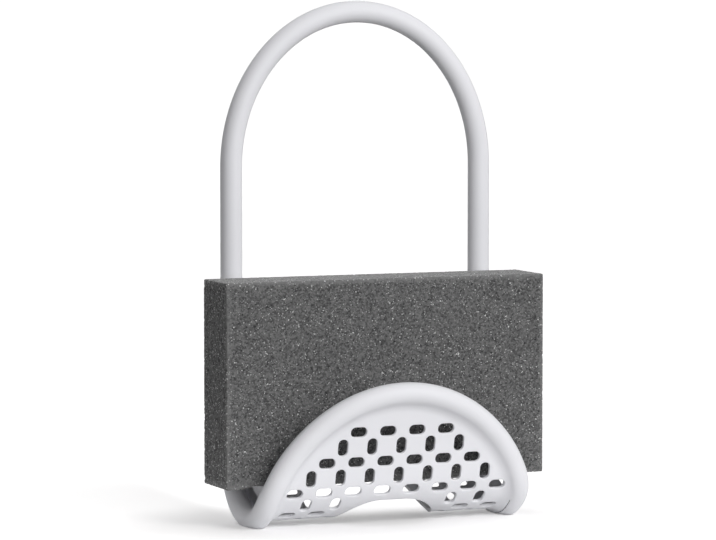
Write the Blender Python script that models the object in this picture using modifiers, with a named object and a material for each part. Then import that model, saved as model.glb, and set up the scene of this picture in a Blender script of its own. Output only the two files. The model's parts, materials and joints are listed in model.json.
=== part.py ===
"""Sink caddy: a perforated cradle in a rolled rim, a bendable loop handle and a foam sponge.

The cradle is drawn flat, as a sheet in the XY plane, and then folded round one bend into a J.
In the flat sheet X is the width, Y is the length u along the sheet (0 where the leaning front
panel meets the bend, up the front for positive u) and Z is the outward normal.
Metres, +Z up, front toward -Y, standing on Z = 0, centred on X and Y.
"""

import math

import bmesh
import bpy
from mathutils import Vector

MM = 0.001

# Soft-touch tube
TUBE_RADIUS = 3.6 * MM
SIDES = 20

# Folded sheet
WEB_THICKNESS = 1.2 * MM
BEND_RADIUS = 17.9 * MM
FRONT_LEAN = math.radians(12.5)
HALF_WIDTH = 44.2 * MM
RIM_FILLET = 4.5 * MM
FILLET_SINK = 0.15 * MM

# Front panel arch, in the flat sheet
PANEL_TOP = 28.2 * MM
PANEL_FOOT = -9.0 * MM
PANEL_ROUNDNESS = 1.27

# Back edge of the web, above the end of the bend
BACK_RISE = 13.0 * MM
BACK_CORNER = 9.0 * MM

# Basket-weave slots
SLOT_PITCH = 10.175 * MM
SLOT_LENGTH = 5.6 * MM
SLOT_WIDTH = 3.4 * MM
TOP_ROW = 15.8 * MM
ROWS = 14
TOP_ROW_COUNT = 4
FULL_ROW_COUNT = 8

# Under the sponge, beside the drain, the rows stand this much wider apart
UNDER_FIRST_ROW = 6
UNDER_ROWS = 4
UNDER_SPREAD = 1.28 * MM

# Drain opening across the fold
DRAIN_HALF_WIDTH = 17.0 * MM
DRAIN_FRONT = -8.7 * MM
DRAIN_BACK = -42.5 * MM
DRAIN_FRONT_CORNER = 13.0 * MM
DRAIN_BACK_CORNER = 6.5 * MM
DRAIN_MARGIN = 1.5 * MM

# Feet and legs
FOOT_FLAT_DEPTH = 1.5 * MM
STUB_INSET = 0.1 * MM
STUB_ROOT = 0.3
STUB_TOP = 50.0 * MM
SOCKET_DEPTH = 12.0 * MM

# Handle loop
ARCH_SPRING = 115.5 * MM
ARCH_RISE = 50.6 * MM
BEND_LINE = 94.0 * MM
FLEX_HALF = 7.0 * MM
WIRE_RADIUS = 1.2 * MM
WIRE_CLEARANCE = 0.3 * MM
END_GAP = 0.3 * MM

# Sponge
SPONGE_SIZE = Vector((112.0 * MM, 21.3 * MM, 65.9 * MM))
SPONGE_EDGE = 0.6 * MM
SPONGE_SEAT_GAP = 0.3 * MM
SPONGE_DROP = 6.1 * MM

# How finely curves are drawn, and how near two points count as one
RIM_STEPS = 36
HANDLE_STEPS = 36
BEND_STEPS = 16
BEAD_STEPS = 12
FILLET_STEPS = 3
BACK_CORNER_STEPS = 5
DRAIN_CORNER_STEPS = 6
SLOT_END_STEPS = 4
BORE_SIDES = 12
WIRE_SIDES = 8
SAME_POINT = 1e-6
ON_PLANE = 1e-7
SHARP_EDGE = math.radians(35.0)

# Worked out from the sizes above
BEND_TURN = math.pi - FRONT_LEAN
BEND_LENGTH = BEND_TURN * BEND_RADIUS
BACK_EDGE = -BEND_LENGTH - BACK_RISE
BEND_Z = BEND_RADIUS + TUBE_RADIUS - FOOT_FLAT_DEPTH
FRONT_REACH = BEND_RADIUS * math.cos(FRONT_LEAN) + PANEL_TOP * math.sin(FRONT_LEAN)
BEND_Y = 0.5 * (FRONT_REACH - BEND_RADIUS)
LEG_Y = BEND_Y + BEND_RADIUS


def clear_scene():
    for obj in list(bpy.data.objects):
        bpy.data.objects.remove(obj, do_unlink=True)


def new_collection(name):
    collection = bpy.data.collections.new(name)
    bpy.context.scene.collection.children.link(collection)
    return collection


def material(name, color, roughness, metallic=0.0):
    mat = bpy.data.materials.new(name)
    mat.use_nodes = True
    shader = mat.node_tree.nodes["Principled BSDF"]
    shader.inputs["Base Color"].default_value = (*color, 1.0)
    shader.inputs["Roughness"].default_value = roughness
    shader.inputs["Metallic"].default_value = metallic
    return mat


def add_object(name, data, collection, mat=None):
    obj = bpy.data.objects.new(name, data)
    collection.objects.link(obj)
    if mat is not None:
        data.materials.append(mat)
    return obj


def poly_spline(curve, points, cyclic):
    spline = curve.splines.new("POLY")
    spline.points.add(len(points) - 1)
    for target, point in zip(spline.points, points):
        target.co = (*point, 1.0)
    spline.use_cyclic_u = cyclic


def mesh_of(obj, name):
    """A welded mesh made from a curve object, which is then removed."""
    bpy.context.view_layer.update()
    evaluated = obj.evaluated_get(bpy.context.evaluated_depsgraph_get())
    mesh = bpy.data.meshes.new_from_object(evaluated)
    mesh.name = name
    mesh.transform(obj.matrix_world)
    bpy.data.objects.remove(obj, do_unlink=True)
    bm = bmesh.new()
    bm.from_mesh(mesh)
    bmesh.ops.remove_doubles(bm, verts=bm.verts, dist=SAME_POINT)
    bmesh.ops.dissolve_degenerate(bm, edges=bm.edges, dist=SAME_POINT)
    bmesh.ops.recalc_face_normals(bm, faces=bm.faces)
    bm.to_mesh(mesh)
    bm.free()
    return mesh


def arc(centre, radius, start, end, steps):
    """Points on an arc in a plane, both ends included, angles in radians."""
    turns = [start + (end - start) * i / steps for i in range(steps + 1)]
    return [(centre[0] + radius * math.cos(t), centre[1] + radius * math.sin(t)) for t in turns]


def rim_path():
    """The closed centreline of the rolled rim in the flat sheet, anticlockwise from the right rail."""
    points = []
    for i in range(RIM_STEPS + 1):
        t = math.pi * i / RIM_STEPS
        rise = (PANEL_TOP - PANEL_FOOT) * math.sin(t) ** PANEL_ROUNDNESS
        points.append((HALF_WIDTH * math.cos(t), PANEL_FOOT + rise))
    inner = HALF_WIDTH - BACK_CORNER
    level = BACK_EDGE + BACK_CORNER
    points += arc((-inner, level), BACK_CORNER, math.pi, 1.5 * math.pi, BACK_CORNER_STEPS)
    points += arc((inner, level), BACK_CORNER, 1.5 * math.pi, 2.0 * math.pi, BACK_CORNER_STEPS)
    return points


def rim_section():
    """A round bead that runs through a concave fillet into the web, with the web toward +X."""
    web_face = 0.5 * WEB_THICKNESS - FILLET_SINK
    reach = math.sqrt((TUBE_RADIUS + RIM_FILLET) ** 2 - (web_face + RIM_FILLET) ** 2)
    centre = (reach, web_face + RIM_FILLET)
    meet = math.atan2(centre[1], centre[0])
    bead = arc((0.0, 0.0), TUBE_RADIUS, meet, 2.0 * math.pi - meet, BEAD_STEPS)
    upper = arc(centre, RIM_FILLET, meet - math.pi, -0.5 * math.pi, FILLET_STEPS)[1:]
    lower = [(x, -y) for x, y in upper]
    return bead + lower + upper[::-1]


def rim_sweep(collection):
    section = bpy.data.curves.new("rim_section", "CURVE")
    section.dimensions = "2D"
    poly_spline(section, [(x, y, 0.0) for x, y in rim_section()], True)
    section_object = add_object("rim_section", section, collection)
    path = bpy.data.curves.new("rim_path", "CURVE")
    path.dimensions = "2D"
    path.fill_mode = "NONE"
    path.bevel_mode = "OBJECT"
    path.bevel_object = section_object
    poly_spline(path, [(x, y, 0.0) for x, y in rim_path()], True)
    mesh = mesh_of(add_object("rim", path, collection), "rim")
    bpy.data.objects.remove(section_object, do_unlink=True)
    return mesh


def slot_outline(x, y, upright):
    """A pill-shaped slot, lying along X or upright along Y."""
    radius = 0.5 * SLOT_WIDTH
    half = 0.5 * SLOT_LENGTH - radius
    right = arc((half, 0.0), radius, -0.5 * math.pi, 0.5 * math.pi, SLOT_END_STEPS)
    left = arc((-half, 0.0), radius, 0.5 * math.pi, 1.5 * math.pi, SLOT_END_STEPS)
    outline = right + left
    if upright:
        outline = [(-b, a) for a, b in outline]
    return [(x + a, y + b) for a, b in outline]


def slot_places():
    """Centre and direction of each slot, row by row, leaving out those that the drain takes."""
    places = []
    for row in range(ROWS):
        wider = min(max(row - UNDER_FIRST_ROW, 0), UNDER_ROWS)
        y = TOP_ROW - 0.5 * SLOT_PITCH * row - UNDER_SPREAD * wider
        upright = row % 2 == 1
        full = FULL_ROW_COUNT - 1 if upright else FULL_ROW_COUNT
        count = min(TOP_ROW_COUNT + row, full)
        half_height = 0.5 * (SLOT_LENGTH if upright else SLOT_WIDTH)
        half_width = 0.5 * (SLOT_WIDTH if upright else SLOT_LENGTH)
        behind_front = y - half_height < DRAIN_FRONT + DRAIN_MARGIN
        before_back = y + half_height > DRAIN_BACK - DRAIN_MARGIN
        for i in range(count):
            x = (i - 0.5 * (count - 1)) * SLOT_PITCH
            beside = abs(x) - half_width > DRAIN_HALF_WIDTH + DRAIN_MARGIN
            if beside or not (behind_front and before_back):
                places.append((x, y, upright))
    return places


def drain_outline():
    """A rounded rectangle with larger corners in front, anticlockwise from its right side."""
    corners = (
        (1, DRAIN_FRONT - DRAIN_FRONT_CORNER, DRAIN_FRONT_CORNER),
        (-1, DRAIN_FRONT - DRAIN_FRONT_CORNER, DRAIN_FRONT_CORNER),
        (-1, DRAIN_BACK + DRAIN_BACK_CORNER, DRAIN_BACK_CORNER),
        (1, DRAIN_BACK + DRAIN_BACK_CORNER, DRAIN_BACK_CORNER),
    )
    points = []
    for quarter, (side, y, radius) in enumerate(corners):
        centre = (side * (DRAIN_HALF_WIDTH - radius), y)
        start = 0.5 * math.pi * quarter
        points += arc(centre, radius, start, start + 0.5 * math.pi, DRAIN_CORNER_STEPS)
    return points


def flat_plate(name, outlines, half_thickness, collection):
    """A flat plate filled from outlines, where one inside another is a hole."""
    curve = bpy.data.curves.new(name, "CURVE")
    curve.dimensions = "2D"
    curve.fill_mode = "BOTH"
    curve.extrude = half_thickness
    for outline in outlines:
        poly_spline(curve, [(x, y, 0.0) for x, y in outline], True)
    return mesh_of(add_object(name, curve, collection), name)


def web_plate(collection):
    return flat_plate("web", [rim_path(), drain_outline()], 0.5 * WEB_THICKNESS, collection)


def slot_cutters(collection):
    outlines = [slot_outline(*place) for place in slot_places()]
    return flat_plate("slots", outlines, WEB_THICKNESS, collection)


def leg_stub(side, collection):
    """The leg above the web's back corner, along the flat sheet's length."""
    start = -BEND_LENGTH - STUB_ROOT * BACK_RISE
    end = -BEND_LENGTH - (STUB_TOP - BEND_Z)
    curve = bpy.data.curves.new("stub", "CURVE")
    curve.dimensions = "3D"
    curve.bevel_depth = TUBE_RADIUS - STUB_INSET
    curve.bevel_resolution = SIDES // 4 - 1
    curve.use_fill_caps = True
    x = side * HALF_WIDTH
    poly_spline(curve, [(x, start, 0.0), (x, end, 0.0)], False)
    return mesh_of(add_object("stub", curve, collection), "stub")


def flat_solid(first, added, removed, collection):
    """One mesh from Boolean unions and differences, in the flat sheet."""
    base = add_object("cradle_flat", first, collection)
    steps = [("UNION", mesh) for mesh in added] + [("DIFFERENCE", mesh) for mesh in removed]
    for i, (operation, mesh) in enumerate(steps):
        step = base.modifiers.new("step_%d" % i, "BOOLEAN")
        step.operation = operation
        step.solver = "EXACT"
        step.object = add_object("cradle_tool_%d" % i, mesh, collection)
    bpy.context.view_layer.update()
    evaluated = base.evaluated_get(bpy.context.evaluated_depsgraph_get())
    mesh = bpy.data.meshes.new_from_object(evaluated)
    for obj in list(collection.objects):
        if obj.name.startswith("cradle_"):
            bpy.data.objects.remove(obj, do_unlink=True)
    return mesh


def folded(point):
    """Where a point of the flat sheet lies once the sheet is folded into the J."""
    x, u, out = point
    turn = min(max(-u / BEND_RADIUS, 0.0), BEND_TURN)
    angle = FRONT_LEAN + turn
    radius = BEND_RADIUS + out
    y = BEND_Y - radius * math.cos(angle)
    z = BEND_Z - radius * math.sin(angle)
    up_front = max(u, 0.0)
    up_back = max(-u - BEND_LENGTH, 0.0)
    y -= up_front * math.sin(FRONT_LEAN)
    z += up_front * math.cos(FRONT_LEAN) + up_back
    return (x, y, z)


def fold(mesh):
    """Cuts the flat mesh across the bend in even steps and folds it round the bend."""
    bm = bmesh.new()
    bm.from_mesh(mesh)
    for i in range(BEND_STEPS + 1):
        level = -BEND_LENGTH * i / BEND_STEPS
        bmesh.ops.bisect_plane(
            bm,
            geom=bm.verts[:] + bm.edges[:] + bm.faces[:],
            dist=ON_PLANE,
            plane_co=(0.0, level, 0.0),
            plane_no=(0.0, 1.0, 0.0),
        )
    bmesh.ops.triangulate(bm, faces=bm.faces)
    for vert in bm.verts:
        vert.co = folded(vert.co)
    bmesh.ops.recalc_face_normals(bm, faces=bm.faces)
    bm.to_mesh(mesh)
    bm.free()


def cylinder(name, radius, low, high, place, collection):
    mesh = bpy.data.meshes.new(name)
    bm = bmesh.new()
    bmesh.ops.create_cone(
        bm,
        cap_ends=True,
        segments=BORE_SIDES,
        radius1=radius,
        radius2=radius,
        depth=high - low,
    )
    bmesh.ops.translate(bm, verts=bm.verts, vec=(*place, 0.5 * (low + high)))
    bm.to_mesh(mesh)
    bm.free()
    return add_object(name, mesh, collection)


def block_mesh(name, size, centre):
    mesh = bpy.data.meshes.new(name)
    bm = bmesh.new()
    bmesh.ops.create_cube(bm, size=1.0)
    bmesh.ops.scale(bm, verts=bm.verts, vec=size)
    bmesh.ops.translate(bm, verts=bm.verts, vec=centre)
    bm.to_mesh(mesh)
    bm.free()
    return mesh


def as_cutter(obj):
    obj.hide_render = True
    obj.display_type = "WIRE"
    return obj


def cut(obj, cutter):
    difference = obj.modifiers.new("cut_" + cutter.name, "BOOLEAN")
    difference.operation = "DIFFERENCE"
    difference.solver = "EXACT"
    difference.object = as_cutter(cutter)


def smooth(mesh):
    mesh.shade_smooth()
    mesh.set_sharp_from_angle(angle=SHARP_EDGE)


def build_cradle(parts, cutters, mat):
    rim_and_stubs = [rim_sweep(cutters), leg_stub(-1, cutters), leg_stub(1, cutters)]
    mesh = flat_solid(web_plate(cutters), rim_and_stubs, [slot_cutters(cutters)], cutters)
    mesh.name = "cradle"
    fold(mesh)
    smooth(mesh)
    cradle = add_object("cradle", mesh, parts)
    cradle.data.materials.clear()
    cradle.data.materials.append(mat)
    low = STUB_TOP - SOCKET_DEPTH
    bore = WIRE_RADIUS + WIRE_CLEARANCE
    for side, name in ((-1, "left"), (1, "right")):
        place = (side * HALF_WIDTH, LEG_Y)
        cut(cradle, cylinder("socket_" + name, bore, low, STUB_TOP + MM, place, cutters))
    size = (3.0 * HALF_WIDTH, 4.0 * BEND_RADIUS, BEND_RADIUS)
    floor_mesh = block_mesh("floor_cutter", size, (0.0, BEND_Y, -0.5 * BEND_RADIUS))
    cut(cradle, add_object("floor_cutter", floor_mesh, cutters))
    return cradle


def tube(name, points, radius, sides, collection):
    """A solid rod along a list of points, as a mesh object."""
    curve = bpy.data.curves.new(name, "CURVE")
    curve.dimensions = "3D"
    curve.bevel_depth = radius
    curve.bevel_resolution = sides // 4 - 1
    curve.use_fill_caps = True
    poly_spline(curve, points, False)
    mesh = mesh_of(add_object(name, curve, collection), name)
    return add_object(name, mesh, collection)


def leg_points(side, low, high):
    return [(side * HALF_WIDTH, LEG_Y, low), (side * HALF_WIDTH, LEG_Y, high)]


def arch_points(low):
    """Up the left leg, over the half-elliptical arch and down the right leg."""
    points = [(-HALF_WIDTH, LEG_Y, low)]
    for i in range(HANDLE_STEPS + 1):
        t = math.pi * i / HANDLE_STEPS
        x = -HALF_WIDTH * math.cos(t)
        points.append((x, LEG_Y, ARCH_SPRING + ARCH_RISE * math.sin(t)))
    points.append((HALF_WIDTH, LEG_Y, low))
    return points


def stretched(points, extra):
    """The same path with both ends run on, for a bore that comes out of both ends."""
    first = Vector(points[0])
    last = Vector(points[-1])
    before = first + (first - Vector(points[1])).normalized() * extra
    after = last + (last - Vector(points[-2])).normalized() * extra
    return [tuple(before)] + points[1:-1] + [tuple(after)]


def sleeve(name, points, parts, cutters, mat):
    obj = tube(name, points, TUBE_RADIUS, SIDES, parts)
    bore = tube(name + "_bore", stretched(points, MM), WIRE_RADIUS + WIRE_CLEARANCE, WIRE_SIDES, cutters)
    cut(obj, bore)
    smooth(obj.data)
    obj.data.materials.append(mat)
    return obj


def wire(name, points, parts, mat):
    obj = tube(name, points, WIRE_RADIUS, WIRE_SIDES, parts)
    smooth(obj.data)
    obj.data.materials.append(mat)
    return obj


def hang_on(obj, empty):
    """Parents a piece to an empty on its joint's axis, and keeps it in place."""
    obj.parent = empty
    obj.matrix_parent_inverse = empty.matrix_world.inverted()


def build_handle(parts, cutters, soft, metal):
    bend = bpy.data.objects.new("handle_bend_axis", None)
    parts.objects.link(bend)
    bend.location = (0.0, LEG_Y, BEND_LINE)
    bpy.context.view_layer.update()
    flex_low = BEND_LINE - FLEX_HALF
    flex_high = BEND_LINE + FLEX_HALF
    wire_end = STUB_TOP - SOCKET_DEPTH + END_GAP
    for side, name in ((-1, "left"), (1, "right")):
        lower = leg_points(side, STUB_TOP + END_GAP, flex_low - END_GAP)
        sleeve("sleeve_lower_" + name, lower, parts, cutters, soft)
        plugged_in = leg_points(side, wire_end, flex_low - END_GAP)
        wire("wire_lower_" + name, plugged_in, parts, metal)
        middle = leg_points(side, flex_low, flex_high)
        sleeve("sleeve_flex_" + name, middle, parts, cutters, soft)
        wire("wire_flex_" + name, middle, parts, metal)
    upper = arch_points(flex_high + END_GAP)
    hang_on(sleeve("sleeve_arch", upper, parts, cutters, soft), bend)
    hang_on(wire("wire_arch", upper, parts, metal), bend)


def build_sponge(parts, mat):
    """A plain foam block, let down between the rails until its back lower edge meets their curve."""
    half_depth = 0.5 * SPONGE_SIZE.y
    reach = BEND_RADIUS - TUBE_RADIUS - SPONGE_SEAT_GAP
    back = BEND_Y + math.sqrt(reach ** 2 - SPONGE_DROP ** 2)
    mesh = block_mesh("sponge", SPONGE_SIZE, (0.0, 0.0, 0.5 * SPONGE_SIZE.z))
    sponge = add_object("sponge", mesh, parts, mat)
    sponge.location = (0.0, back - half_depth, BEND_Z - SPONGE_DROP)
    edge = sponge.modifiers.new("soft_edges", "BEVEL")
    edge.width = SPONGE_EDGE
    edge.segments = 2
    edge.limit_method = "ANGLE"
    smooth(mesh)
    return sponge


def main():
    clear_scene()
    parts = new_collection("sink_caddy")
    cutters = new_collection("cutters")
    soft = material("soft_touch", (0.78, 0.78, 0.82), 0.55)
    metal = material("armature_wire", (0.80, 0.80, 0.81), 0.35, 1.0)
    foam = material("foam", (0.085, 0.085, 0.087), 0.95)
    build_cradle(parts, cutters, soft)
    build_handle(parts, cutters, soft, metal)
    build_sponge(parts, foam)


main()
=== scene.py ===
"""Sink caddy scene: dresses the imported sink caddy, piece by piece, and sets its stage.

The cradle, its rolled rim and the loop handle are all drawn on one flat sheet and then folded into
a J. On the sheet X is the width, u is the length (0 where the leaning front panel meets the bend,
positive up the front, negative round the bend and up the back) and out is the height above the sheet.
Lengths are in metres, +Z is up and the front looks toward -Y.
"""

import itertools
import json
import math
from typing import NamedTuple

import bmesh
import bpy
import numpy as np
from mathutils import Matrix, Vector
from mathutils.geometry import delaunay_2d_cdt


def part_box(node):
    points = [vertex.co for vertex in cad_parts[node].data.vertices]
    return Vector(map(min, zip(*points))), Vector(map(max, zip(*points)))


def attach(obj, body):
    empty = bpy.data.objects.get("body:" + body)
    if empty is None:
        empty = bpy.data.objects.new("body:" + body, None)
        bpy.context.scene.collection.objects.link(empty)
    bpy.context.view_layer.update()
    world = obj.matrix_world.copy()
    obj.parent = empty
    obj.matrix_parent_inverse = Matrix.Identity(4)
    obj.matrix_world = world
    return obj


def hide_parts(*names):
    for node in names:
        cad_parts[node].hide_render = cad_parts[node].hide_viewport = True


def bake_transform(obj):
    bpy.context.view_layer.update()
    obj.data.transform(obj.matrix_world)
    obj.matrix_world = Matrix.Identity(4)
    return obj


bl_info = {
    "name": "Sink Caddy",
    "version": (1, 0, 0),
    "blender": (4, 5, 0),
    "location": "3D View > Sidebar > Caddy",
    "description": "Builds a perforated sink caddy with a bendable loop handle and a foam sponge",
    "category": "Object",
}

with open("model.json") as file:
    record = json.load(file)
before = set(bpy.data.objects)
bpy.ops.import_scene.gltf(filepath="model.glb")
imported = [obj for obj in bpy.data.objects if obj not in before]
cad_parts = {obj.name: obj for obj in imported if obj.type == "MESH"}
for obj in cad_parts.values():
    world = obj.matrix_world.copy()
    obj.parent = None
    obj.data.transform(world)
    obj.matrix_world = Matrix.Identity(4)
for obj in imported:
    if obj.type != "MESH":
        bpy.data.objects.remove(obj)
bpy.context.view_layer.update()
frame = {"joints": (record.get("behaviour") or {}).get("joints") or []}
MM = 0.001


def box_of(node):
    """The lowest and the highest corner of a CAD node."""
    low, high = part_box(node)
    return np.array(low), np.array(high)


def linear(hex_colour):
    """An sRGB hex colour as linear red, green and blue."""
    shares = [int(hex_colour[i : i + 2], 16) / 255.0 for i in (1, 3, 5)]
    return tuple(s / 12.92 if s <= 0.04045 else ((s + 0.055) / 1.055) ** 2.4 for s in shares)


ARCH_LOW, ARCH_HIGH = box_of("sleeve_arch")
SPONGE_LOW, SPONGE_HIGH = box_of("sponge")
TUBE_RADIUS = 0.5 * float(ARCH_HIGH[1] - ARCH_LOW[1])
LEG_Y = 0.5 * float(ARCH_HIGH[1] + ARCH_LOW[1])
HALF_WIDTH = 0.5 * float(ARCH_HIGH[0] - ARCH_LOW[0]) - TUBE_RADIUS
JOINTS = {joint["name"]: joint for joint in frame["joints"]}
BEND_LINE = float(JOINTS["handle_bend"]["pos_m"][2])

# Points along each of the two arches, before they are spread evenly
ARCH_POINTS = 181
# Power of the sine in the front arch's rise: 1 is an ellipse, more is a softer start
FRONT_ARCH_POWER = 1.27
# Distances between points along the handle's loop, the rim's loop, the back rail and the wire
LOOP_STEP = 0.9 * MM
RIM_STEP = 0.7 * MM
RAIL_STEP = 0.8 * MM
WIRE_STEP = 1.5 * MM
# Rounds in which the kinks of a loop are averaged out
SOOTHING = 2
# Points round a tube and round the wire
TUBE_SIDES = 40
WIRE_SIDES = 16
# Rings of a tube's round cap, and the share of the radius that its last ring keeps
CAP_RINGS = 6
CAP_TIP = 0.002
# How much thinner the back rail's ends are, and over how many points
END_THINNER = 0.12 * MM
END_POINTS = 5.0
# Distance at which points of a piece are welded, and the least angle that stays sharp
WELD = 0.002 * MM
CREASE = math.radians(30.0)

# The basket weave: its rows, the slots of its first row, and the most in an upright and a level row
ROWS = 14
FIRST_ROW_SLOTS = 4
MOST_UPRIGHT = 7
MOST_LEVEL = 8
# The row after which the weave widens under the sponge, and for how many rows
UNDER_FIRST_ROW = 6
UNDER_ROWS = 4
# The least sheet between a slot and the drain
DRAIN_MARGIN = 1.5 * MM
# Points round each corner of a slot and of the drain, and down each softened edge
SLOT_STEPS = 7
DRAIN_STEPS = 24
LIP_STEPS = 5
# Distance between the loose points of the sheet, and the least from one to a hole's softened edge
SHEET_SPACING = 1.5 * MM
SHEET_CLEAR = 0.3 * MM
# How deep the sheet's border hides in the rim, and the slack in telling what lies inside it
BORDER_HIDDEN = 0.05 * MM
BORDER_SLACK = 0.02 * MM
# Rings of points over the hollow along the rim
HOLLOW_RINGS = 8
# Points whose distance to a path is found together, and how near two points may come, in millimetres
BLOCK = 2000
NEAREST = 1e-5

# Pore radii run from the smallest over the spread, in cell sides, and a pore's wall curves by the power
PORE_SMALLEST = 0.16
PORE_SPREAD = 0.34
PORE_POWER = 0.6
PORE_SEED = 5
# Large odd numbers that scatter a cell's place and the seed over the bits, and that mix them on
CELL_FACTORS = (73856093, 19349663, 83492791)
SEED_FACTOR = 2654435761
MIX_FACTORS = (2246822519, 3266489917, 668265263)
# A weaker ripple between the pores, its cells as a share of the pores' cells
RIPPLE_CELL = 0.55
RIPPLE_DEPTH = 0.10 * MM
RIPPLE_SEED = 9
# The foam settles up to this height; a rail holds it within its reach and lets go over the fade
SAG_HEIGHT = 12.0 * MM
RAIL_REACH = 2.5 * MM
RAIL_FADE = 4.0 * MM
# Width of the band of painted highlight along the sponge's cut edges, and the power by which it fades
EDGE_HIGHLIGHT_WIDTH = 2.2 * MM
EDGE_HIGHLIGHT_POWER = 1.5

# The floor reaches this far each way, in metres, and lies just below the feet
FLOOR_REACH = 30.0
FLOOR_DROP = 0.02 * MM

# The photo's camera, its place in metres and its lens and sensor in millimetres
CAMERA_PLACE = (-0.5067, -1.2058, 0.17955)
CAMERA_YAW = math.radians(22.47)
CAMERA_PITCH = math.radians(4.26)
CAMERA_LENS = 202.1
CAMERA_SENSOR = 36.0

WHITE = (1.0, 1.0, 1.0, 1.0)
SMOOTH = {"interpolation_type": "SMOOTHSTEP"}


def length(name, description, default):
    """A length property."""
    return bpy.props.FloatProperty(
        name=name,
        description=description,
        default=default,
        subtype="DISTANCE",
        unit="LENGTH",
        precision=5,
    )


def colour(name, description, hex_colour):
    """A colour property."""
    return bpy.props.FloatVectorProperty(
        name=name,
        description=description,
        default=linear(hex_colour),
        subtype="COLOR",
        size=3,
        min=0.0,
        max=1.0,
    )


class CaddySizes(bpy.types.PropertyGroup):
    """Sizes of the caddy."""

    tube_radius: length("Tube radius", "Radius of the soft-touch tube and rolled rim", TUBE_RADIUS)
    half_width: length("Half width", "From the middle to the centre of a rail or leg", HALF_WIDTH)
    leg_y: length("Leg place", "How far back the legs stand", LEG_Y)
    web_thickness: length("Web thickness", "Thickness of the perforated sheet", 1.2 * MM)
    bend_radius: length("Bend radius", "Radius of the sheet's middle round the bend", 17.9 * MM)
    foot_depth: length("Foot depth", "How far the rails are pressed flat where they stand", 1.5 * MM)
    front_lean: bpy.props.FloatProperty(
        name="Front lean",
        description="Forward lean of the front panel",
        default=math.radians(12.5),
        subtype="ANGLE",
    )
    panel_top: length("Panel top", "Top of the front arch above the bend, along the sheet", 28.2 * MM)
    panel_foot: length("Panel foot", "Where the front arch starts, along the sheet", -9.0 * MM)
    back_rise: length("Back rise", "Height of the back rail above the bend", 13.0 * MM)
    back_corner: length("Back corner", "Radius where the back rail leaves the legs", 9.0 * MM)
    rim_fillet: length("Rim fillet", "Radius of the hollow between rim and sheet", 4.5 * MM)
    arch_spring: length("Arch spring", "Height at which the handle starts to curve", 115.5 * MM)
    arch_rise: length("Arch rise", "Height of the handle's arch above its spring", 50.6 * MM)
    slot_pitch: length("Slot pitch", "Distance between slots of one row", 10.175 * MM)
    slot_length: length("Slot length", "Length of a slot", 5.6 * MM)
    slot_width: length("Slot width", "Width of a slot", 3.4 * MM)
    slot_round: length("Slot corner", "Corner radius of a slot", 1.6 * MM)
    slot_lip: length("Slot lip", "Radius of the softened edge of slots and drain", 0.25 * MM)
    top_row: length("Top row", "Place of the first row of slots along the sheet", 15.8 * MM)
    under_spread: length("Spread below", "How much wider the rows stand beside the drain", 1.28 * MM)
    drain_half_width: length("Drain half width", "Half the width of the drain", 17.0 * MM)
    drain_front: length("Drain front", "Front edge of the drain along the sheet", -8.7 * MM)
    drain_back: length("Drain back", "Back edge of the drain along the sheet", -42.5 * MM)
    drain_front_corner: length("Drain front corner", "Corner radius of the drain in front", 13.0 * MM)
    drain_back_corner: length("Drain back corner", "Corner radius of the drain behind", 6.5 * MM)
    wire_radius: length("Wire radius", "Radius of the wire inside the handle", 1.2 * MM)
    wire_end: length("Wire end", "Height at which the wire ends in the cradle's legs", 38.3 * MM)
    bend_line: length("Bend line", "Height at which the handle bends", BEND_LINE)
    bend_reach: length("Bend reach", "How far the bend spreads above and below its line", 12.0 * MM)
    sponge_edge: length("Sponge edge", "Radius of the sponge's cut edges", 0.6 * MM)
    sponge_grid: length("Sponge grid", "Spacing of the points on the sponge", 0.49 * MM)
    sponge_sag: length("Sponge sag", "How far the sponge settles at its lower left end", 1.0 * MM)
    pore_cell: length("Pore spacing", "Spacing of the sponge's larger pores", 1.25 * MM)
    pore_depth: length("Pore depth", "Depth of the sponge's larger pores", 0.42 * MM)


class CaddyFinish(bpy.types.PropertyGroup):
    """Colours of the caddy."""

    coat: colour("Soft-touch coat", "Colour of the rubber moulding", "#E7E7EB")
    foam: colour("Foam", "Colour of the foam's strands", "#757575")
    # The dark end of the foam's tone; deep in the pores it also serves as painted shade
    foam_shade: colour("Foam shade", "Colour deep in the foam's pores", "#343435")
    # Colour of the painted glints on the foam
    foam_speck: colour("Foam speck", "Colour of the cell walls that catch the light", "#E6E6E6")
    wire: colour("Wire", "Colour of the drawn aluminium", "#C9CACC")


def folded(sheet, sizes):
    """Folds points (x, u, out) of the flat sheet into the J.

    The angle round the bend grows with -u over the bend radius and stops at both ends of the bend.
    A point lies at the bend radius plus out from the bend's axis, and runs on straight past the
    ends: up the leaning front for u above 0 and up the back for u below the bend's length.
    """
    x, u, out = np.moveaxis(np.asarray(sheet, float), -1, 0)
    lean = sizes.front_lean
    angle = lean + np.clip(-u / sizes.bend_radius, 0.0, math.pi - lean)
    radius = sizes.bend_radius + out
    up_front = np.maximum(u, 0.0)
    up_back = np.maximum(-u - bend_length(sizes), 0.0)
    bend_y, bend_z = bend_axis(sizes)
    y = bend_y - radius * np.cos(angle) - up_front * math.sin(lean)
    z = bend_z - radius * np.sin(angle) + up_front * math.cos(lean) + up_back
    return np.stack([x, y, z], axis=-1)


def bend_length(sizes):
    """Length of the sheet round the bend: its angle times its radius."""
    return (math.pi - sizes.front_lean) * sizes.bend_radius


def bend_axis(sizes):
    """Y and Z of the axis that the sheet is folded round."""
    return sizes.leg_y - sizes.bend_radius, sizes.bend_radius + sizes.tube_radius - sizes.foot_depth


def back_u(height, sizes):
    """The sheet length u at which the back of the fold reaches a height."""
    return -bend_length(sizes) - (height - bend_axis(sizes)[1])


def arc(centre, radius, start, end, count):
    """Points at a radius from a centre, by the cosine and sine of even turns from start to end."""
    turns = np.linspace(start, end, count)
    x = centre[0] + radius * np.cos(turns)
    return np.stack([x, centre[1] + radius * np.sin(turns)], axis=1)


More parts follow.
